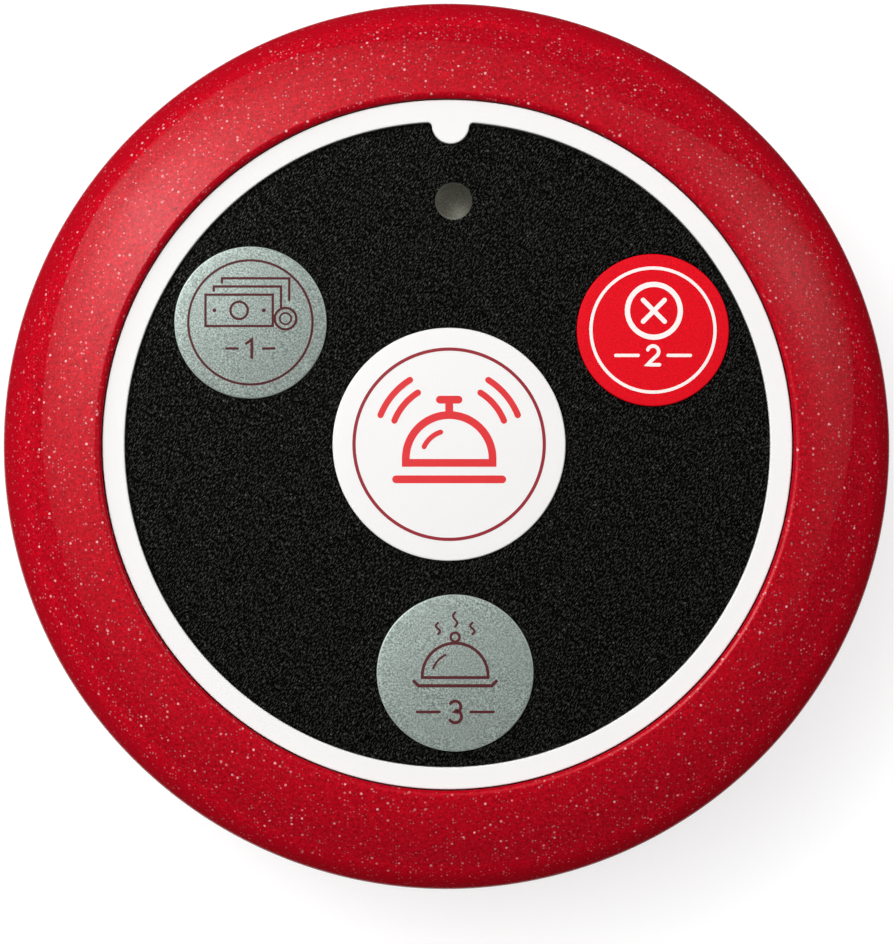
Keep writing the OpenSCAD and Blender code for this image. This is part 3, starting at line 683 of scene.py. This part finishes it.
def dome_profile(foot):
    """Section of a thin cap of a sphere whose rim stands at height foot."""
    ball = (DOME_R**2 + DOME_H**2) / (2 * DOME_H)
    middle = foot + DOME_H - ball
    outer = math.degrees(math.asin(DOME_R / ball))
    inner = math.degrees(math.acos((ball - DOME_H) / (ball - DOME_T)))
    over = arc(0.0, middle, ball, 90, 90 - outer, 14)
    under = arc(0.0, middle, ball - DOME_T, 90 - inner, 90, 14)
    over[0], under[-1] = (0.0, over[0][1]), (0.0, under[-1][1])
    return over + under


for name in KEYS:
    node = name + "_switch_dome"
    low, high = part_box(node)
    place = ((low.x + high.x) / 2 / MM, (low.y + high.y) / 2 / MM)
    solid = lathe(dome_profile(low.z / MM)[::-1], 96, place, closed=False)
    dome = piece(name + "_snap_dome", *solid, LOOKS["spring_contact"], "casing", [node], "spring_contact")
    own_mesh(dome)


# Printed marks: thin solids that follow the crown of their key
INK_T, INK_SUNK, INK_STEP = 0.012, 0.004, 0.4


def finer(points, closed):
    """The points, with more put in so that none are further apart than INK_STEP."""
    ends = points[1:] + points[:1] if closed else points[1:]
    out = []
    for a, b in zip(points, ends):
        parts = max(1, math.ceil(math.dist(a, b) / INK_STEP))
        out += [(a[0] + (b[0] - a[0]) * i / parts, a[1] + (b[1] - a[1]) * i / parts) for i in range(parts)]
    return out if closed else out + [points[-1]]


def strip(points, width, closed=False):
    """A line of the given width along points, with round ends, as sections (x, y, nx, ny, half width)."""
    half = width / 2
    points = finer(points, closed)
    sections = []
    count = len(points)
    for i, here in enumerate(points):
        before = points[i - 1] if closed or i else None
        after = points[(i + 1) % count] if closed or i < count - 1 else None
        ways = []
        for a, b in ((before, here), (here, after)):
            if a is not None and b is not None:
                length = math.dist(a, b)
                ways.append(((b[0] - a[0]) / length, (b[1] - a[1]) / length))
        wx, wy = sum(w[0] for w in ways), sum(w[1] for w in ways)
        size = math.hypot(wx, wy)
        wx, wy = wx / size, wy / size
        mitre = 1 / max(0.5, wx * ways[0][0] + wy * ways[0][1])
        sections.append((*here, -wy, wx, half * mitre))
    if not closed:
        sections = cap(sections[0], half, -1)[::-1] + sections + cap(sections[-1], half, 1)
    return sections, closed


def cap(section, half, sign):
    """Sections of the round end of a line, outwards from its last section."""
    x, y, nx, ny, _ = section
    wx, wy = ny * sign, -nx * sign
    out = []
    for k in range(1, 7):
        a = math.pi / 2 * k / 6
        reach, wide = half * math.sin(a), max(half * math.cos(a), 0.003)
        out.append((x + wx * reach, y + wy * reach, nx, ny, wide))
    return out


def ink_solid(place, ball, sections, closed, thick):
    """Thin solid of one printed line on the crown of a key."""
    verts = []
    for x, y, nx, ny, half in sections:
        for side, lift in ((1, thick), (-1, thick), (-1, -INK_SUNK), (1, -INK_SUNK)):
            px, py = x + side * nx * half, y + side * ny * half
            z = KEY_Z - ball + math.sqrt(ball**2 - px**2 - py**2)
            verts.append((place[0] + px, place[1] + py, z + lift))
    count = len(sections)
    faces = []
    for i in range(count if closed else count - 1):
        j = (i + 1) % count
        for k in range(4):
            n = (k + 1) % 4
            faces.append([4 * i + k, 4 * i + n, 4 * j + n, 4 * j + k])
    if not closed:
        faces.append([3, 2, 1, 0])
        last = 4 * (count - 1)
        faces.append([last, last + 1, last + 2, last + 3])
    return verts, faces


def loop(x, y, r, steps=96):
    return arc(x, y, r, 0, 360, steps)[:-1]


def dot(x, y, r):
    """A round dot, as a line of no length with round ends."""
    return strip([(x - 0.002, y), (x + 0.002, y)], 2 * r)


def numeral(digit, x, y, size, width):
    """A plain digit of the given height, centred on (x, y)."""
    shapes = {
        "1": [(-0.22, 0.28), (0.08, 0.5), (0.08, -0.5)],
        "2": arc(0.0, 0.2, 0.30, 160, -35, 20) + [(-0.32, -0.5), (0.34, -0.5)],
        "3": arc(0.0, 0.24, 0.26, 145, -70, 18) + [(-0.02, 0.01)] + arc(0.0, -0.21, 0.29, 78, -145, 20),
    }
    return strip([(x + size * px, y + size * py) for px, py in shapes[digit]], width)


def marks(name, key, lines, look):
    """One printed mark: lines in order, each a hair thicker than the one before so that none coincide."""
    place, r, _ = KEYS[key]
    solids = []
    for i, (sections, closed) in enumerate(lines):
        solids.append(ink_solid(place, crown_ball(r), sections, closed, INK_T + 0.0006 * i))
    piece(name, *joined(*solids), INKS[look], key + "_button", sharp=40.0)


# Large key: a counter bell that rings, inside a thin ring
marks("call_print_ring", "call", [strip(loop(0, 0, 6.366, 200), 0.221, True)], "crimson")
BELL = 0.52
bell = [
    strip([(-3.55, -2.35), (3.55, -2.35)], BELL),
    strip([(-2.9, -1.25)] + arc(0, -0.95, 2.9, 180, 0, 48) + [(2.9, -1.25)], BELL, True),
    strip([(0, 2.1), (0, 2.75)], BELL),
    strip([(-0.62, 2.98), (0.62, 2.98)], BELL),
    strip(arc(0, -0.95, 1.85, 155, 108, 14), 0.34),
]
for a, b in ((58, 22), (158, 122)):
    bell += [strip(arc(0, 0.1, reach, a, b, 20), 0.42) for reach in (3.95, 4.95)]
marks("call_print_bell", "call", bell, "scarlet")

# Upper left key: a few notes and a coin, numeral 1
LINE = 0.16
note = [(-3.0, -0.25), (1.5, -0.25), (1.5, 1.85), (-3.0, 1.85)]
notes = [strip(note, LINE, True), strip(loop(-0.75, 0.8, 0.58, 40), LINE, True)]
notes += [dot(-2.4, 0.8, 0.13), dot(0.9, 0.8, 0.13)]
for step in (0.55, 1.1):
    back = [(-3.0 + step, 1.85 + step - 0.28), (-3.0 + step, 1.85 + step), (1.5 + step, 1.85 + step)]
    back += [(1.5 + step, 0.95 if step < 1 else 1.5)]
    notes.append(strip(back, LINE))
notes += [strip(loop(2.35, 0.25, 0.72, 40), LINE, True), strip(loop(2.35, 0.25, 0.38, 32), 0.12, True)]
marks("pay_print_ring", "pay", [strip(loop(0, 0, 4.155, 160), 0.154, True)], "maroon")
notes += [numeral("1", 0.0, -1.75, 1.2, 0.19)]
notes += [strip([(x, -1.75), (x + 0.75, -1.75)], LINE) for x in (-1.6, 0.85)]
marks("pay_print_notes", "pay", notes, "maroon")

# Upper right key: a cross in a circle, numeral 2
marks("cancel_print_ring", "cancel", [strip(loop(0, 0, 4.155, 160), 0.214, True)], "white")
CROSS = 0.72
CROSS_X, CROSS_Y = 0.055, 1.287
cross = [strip(loop(CROSS_X, CROSS_Y, 1.77, 80), 0.348, True)]
for side in (-CROSS, CROSS):
    bar = [(CROSS_X - side, CROSS_Y - CROSS), (CROSS_X + side, CROSS_Y + CROSS)]
    cross.append(strip(bar, 0.308))
cross += [numeral("2", 0.0, -1.7, 1.25, 0.24)]
cross += [strip([(x, -1.7), (x + 1.5, -1.7)], 0.22) for x in (-2.5, 1.0)]
marks("cancel_print_cross", "cancel", cross, "white")

# Bottom key: a dish under its cover, numeral 3
dish = [
    strip([(-2.75, -0.55), (-2.45, -0.85), (2.45, -0.85), (2.75, -0.55)], 0.22),
    strip([(-2.2, -0.3)] + arc(0, -0.2, 2.2, 180, 0, 40) + [(2.2, -0.3)], 0.2, True),
    strip(loop(0, 2.4, 0.3, 28), 0.17, True),
    strip(arc(0, -0.2, 1.55, 160, 115, 12), 0.15),
]
for x, foot, rise in ((-1.15, 2.6, 0.75), (0.0, 3.1, 0.95), (1.15, 2.6, 0.75)):
    wave = [(x + 0.14 * math.sin(TURN * k / 12), foot + rise * k / 12) for k in range(13)]
    dish.append(strip(wave, 0.15))
dish += [numeral("3", 0.0, -2.6, 1.45, 0.21)]
dish += [strip([(x, -2.6), (x + 1.5, -2.6)], 0.18) for x in (-2.55, 1.05)]
marks("order_print_dish", "order", dish, "maroon")


# Floor and backdrop
FLOOR_R, SWEEP_R = 2400.0, 300.0
FLOOR_LIT, FLOOR_GLOW, FLOOR_PLAIN = 0.55, 0.60, 0.25


def floor_material():
    """Pale floor. What sees it directly sees it white; it still takes the object's shadow."""
    s = Shader("floor_look")
    plain = s.add("BsdfDiffuse", {"Color": (FLOOR_PLAIN,) * 3 + (1.0,)})
    lit = s.add("BsdfDiffuse", {"Color": (FLOOR_LIT,) * 3 + (1.0,)})
    glow = s.add("Emission", {"Color": (1.0, 1.0, 1.0, 1.0), "Strength": FLOOR_GLOW})
    white = s.add("AddShader", {0: lit.outputs[0], 1: glow.outputs[0]})
    path = s.add("LightPath").outputs
    seen = s.math("MAXIMUM", path["Is Camera Ray"], path["Is Glossy Ray"])
    seen = s.math("MAXIMUM", seen, path["Is Transmission Ray"])
    both = s.add("MixShader", {0: seen, 1: plain.outputs[0], 2: white.outputs[0]})
    s.tree.links.new(both.outputs[0], s.tree.nodes["Material Output"].inputs["Surface"])
    s.tree.nodes.remove(s.bsdf)
    return s.material


sweep = [(0.0, 0.0), (FLOOR_R, 0.0)] + arc(FLOOR_R, SWEEP_R, SWEEP_R, -90, 0, 24)[1:]
floor = piece("floor", *lathe(sweep[::-1], 128, closed=False), floor_material(), None)


# Light
def lamp(name, kind, strength, **settings):
    data = bpy.data.lights.new(name, kind)
    data.energy = strength
    for key, value in settings.items():
        setattr(data, key, value)
    made = bpy.data.objects.new(name, data)
    bpy.context.scene.collection.objects.link(made)
    made.visible_camera = False
    return made


def sun(name, azimuth, elevation, strength, spread):
    """Broad soft light that only shades; the soft boxes alone show in the gloss."""
    made = lamp(name, "SUN", strength, angle=math.radians(spread))
    a, e = math.radians(azimuth), math.radians(elevation)
    back = Vector((math.cos(a) * math.cos(e), math.sin(a) * math.cos(e), math.sin(e)))
    made.rotation_mode = "QUATERNION"
    made.rotation_quaternion = back.to_track_quat("Z", "Y")
    made.visible_glossy = False


# Soft boxes: height in metres, brightness, and the power that shapes the fading round their azimuth
BOX_Z, BOX_STRENGTH, GLOW_POWER = 0.30, 1.09, 1.15
WORLD_LIGHT = 0.02


def soft_box(name, z, reach, direction, start, length, width, azimuth, fade, levels):
    """Flat lamp at height z that faces down, in metres and degrees.

    Its far long side runs along direction, reach from the axis. It is brightest at azimuth and fades
    to a third in fade degrees; levels give its brightness by distance from the axis.
    """
    way = math.radians(direction)
    along = Vector((math.cos(way), math.sin(way), 0.0))
    out = Vector((-along.y, along.x, 0.0))
    power = BOX_STRENGTH * length * width * math.pi
    made = lamp(name, "AREA", power, shape="RECTANGLE", size=length, size_y=width)
    made.location = along * (start + length / 2) + out * (reach - math.copysign(width / 2, reach))
    made.location.z = z
    made.rotation_euler = (0.0, 0.0, way)
    made.data.use_nodes = True
    n = Nodes(made.data.node_tree)
    place = n.vector("MULTIPLY", n.add("NewGeometry").outputs["Position"], (1.0, 1.0, 0.0))
    a = math.radians(azimuth)
    ahead = n.vector("DOT_PRODUCT", place, (math.cos(a), math.sin(a), 0.0))
    aside = n.vector("DOT_PRODUCT", place, (-math.sin(a), math.cos(a), 0.0))
    turn = n.math("ABSOLUTE", n.math("ARCTAN2", aside, ahead))
    turn = n.math("POWER", n.math("DIVIDE", turn, math.radians(fade)), GLOW_POWER)
    total = n.math("EXPONENT", n.math("MULTIPLY", turn, -1.0))
    far = n.vector("LENGTH", place)
    for low, high, to_low, to_high in levels:
        total = n.math("MULTIPLY", total, n.ramp(far, low, high, to_low, to_high))
    n.tree.links.new(total, n.tree.nodes["Emission"].inputs["Strength"])


soft_box(
    "soft_box_left", BOX_Z, 0.471, 129.5, -0.112, 4.5, 0.9,
    141.0, 24.0, ((0.088, 0.12, 0.1, 1.0), (0.30, 0.75, 3.0, 1.25), (0.75, 2.6, 1.0, 0.5)),
)
soft_box(
    "soft_box_right", BOX_Z - 0.001, -0.291, 29.0, 0.0, 1.925, 0.49,
    28.0, 22.0, ((0.13, 0.33, 0.1, 1.0), (0.33, 1.2, 0.98, 0.12)),
)
sun("fill_high", 142, 80, 1.85, 100)
sun("fill_left", 150, 45, 0.95, 70)

world = bpy.data.worlds.new("studio")
bpy.context.scene.world = world
world.use_nodes = True
background = world.node_tree.nodes["Background"].inputs
background["Color"].default_value = (1.0, 1.0, 1.0, 1.0)
background["Strength"].default_value = WORLD_LIGHT

bpy.context.scene.view_settings.view_transform = "Standard"
